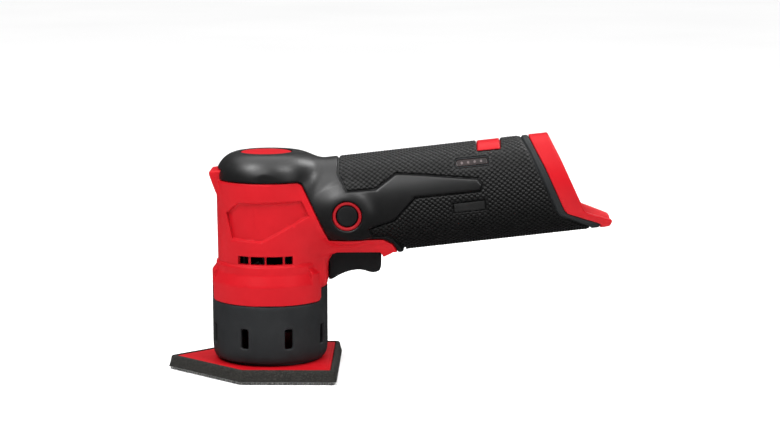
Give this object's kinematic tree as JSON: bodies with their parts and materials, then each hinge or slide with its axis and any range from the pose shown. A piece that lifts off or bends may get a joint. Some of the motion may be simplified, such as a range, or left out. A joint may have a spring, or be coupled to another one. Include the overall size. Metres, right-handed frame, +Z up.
{
  "type": "detail sander",
  "caption": "Cordless hand detail sander: a flat-iron pad on an orbiting platen under a round motor head, with a paddle trigger, side lock button and battery socket in an oval handle.",
  "frame": {"origin": "on the sanding face, under the motor shaft's axis", "axes": "+Z up along the motor shaft, +X back along the handle, +Y to the tool's right-hand side"},
  "size_m": [0.2384, 0.079, 0.1288],
  "materials": {
    "red_plastic": "satin",
    "red_label": "satin",
    "soft_rubber": "soft semi-gloss",
    "grip_rubber": "textured, matt",
    "dark_plastic": "satin",
    "platen_plastic": "matt",
    "foam": "open cell, matt",
    "hook": "hook pile",
    "elastomer": "matt",
    "steel": "ground",
    "screw_steel": "blackened",
    "spring_steel": "drawn",
    "copper": "enamelled wire",
    "contact_metal": "plated",
    "carrier_alloy": "die cast",
    "fan_plastic": "moulded",
    "circuit_board": "solder mask",
    "module_case": "potted",
    "lead_insulation": "extruded",
    "lamp": "moulded",
    "clear_lens": "polished"
  },
  "bodies": {
    "housing": {"battery_leads": "lead_insulation", "bearing_carrier": "carrier_alloy", "blank_badges": "dark_plastic", "blank_rating_plate": "red_label", "button_bezel": "red_plastic", "control_module": "module_case", "dust_shroud": "dark_plastic", "gauge_board": "circuit_board", "gauge_lamps": "lamp", "gauge_lens": "clear_lens", "housing_screws": "screw_steel", "isolator_legs": "elastomer", "left_cap_skin": "soft_rubber", "left_grip": "grip_rubber", "left_housing": "red_plastic", "lock_button_spring": "spring_steel", "lower_bearing_outer": "steel", "motor_leads": "lead_insulation", "rear_collar": "red_plastic", "right_cap_skin": "soft_rubber", "right_grip": "grip_rubber", "right_housing": "red_plastic", "sensor_board": "circuit_board", "stator_core": "steel", "stator_windings": "copper", "terminal_blades": "contact_metal", "terminal_block": "dark_plastic", "top_medallion": "red_label", "trigger_spring": "spring_steel", "trigger_switch": "dark_plastic", "trim_ring": "dark_plastic", "upper_bearing_outer": "steel"},
    "drive": {"motor_shaft": "steel", "eccentric_counterweight": "steel", "eccentric_washer": "steel", "eccentric_screw": "screw_steel", "rotor": "steel", "cooling_fan": "fan_plastic", "upper_bearing_inner": "steel", "lower_bearing_inner": "steel", "pad_bearing_inner": "steel"},
    "pad": {"pad_bearing_outer": "steel", "platen": "platen_plastic", "pad_screws": "screw_steel", "pad_plate": "red_plastic", "foam_pad": "foam", "hook_sheet": "hook"},
    "trigger": {"trigger": "dark_plastic", "switch_plunger": "dark_plastic"},
    "lock_button": {"lock_button": "dark_plastic"}
  },
  "joints": [
    {"name": "drive_spin", "type": "hinge", "parent": "housing", "child": "drive", "pos_m": [0, 0, 0.08], "axis": [0, 0, 1], "continuous": true},
    {"name": "pad_orbit", "type": "hinge", "parent": "drive", "child": "pad", "pos_m": [0.0012, 0, 0.0175], "axis": [0, 0, 1], "continuous": true, "deforming": ["isolator_legs"]},
    {"name": "trigger_pull", "type": "slide", "parent": "housing", "child": "trigger", "axis": [0, 0, 1], "range_m": [0, 0.005], "stiffness_N_per_m": 700, "springref_m": -0.004, "deforming": ["trigger_spring"]},
    {"name": "lock_press", "type": "slide", "parent": "housing", "child": "lock_button", "axis": [0, 1, 0], "range_m": [0, 0.0025], "stiffness_N_per_m": 900, "springref_m": -0.002, "deforming": ["lock_button_spring"]}
  ],
  "couplings": [
    {"joint": "pad_orbit", "follows": "drive_spin", "ratio": -1}
  ]
}
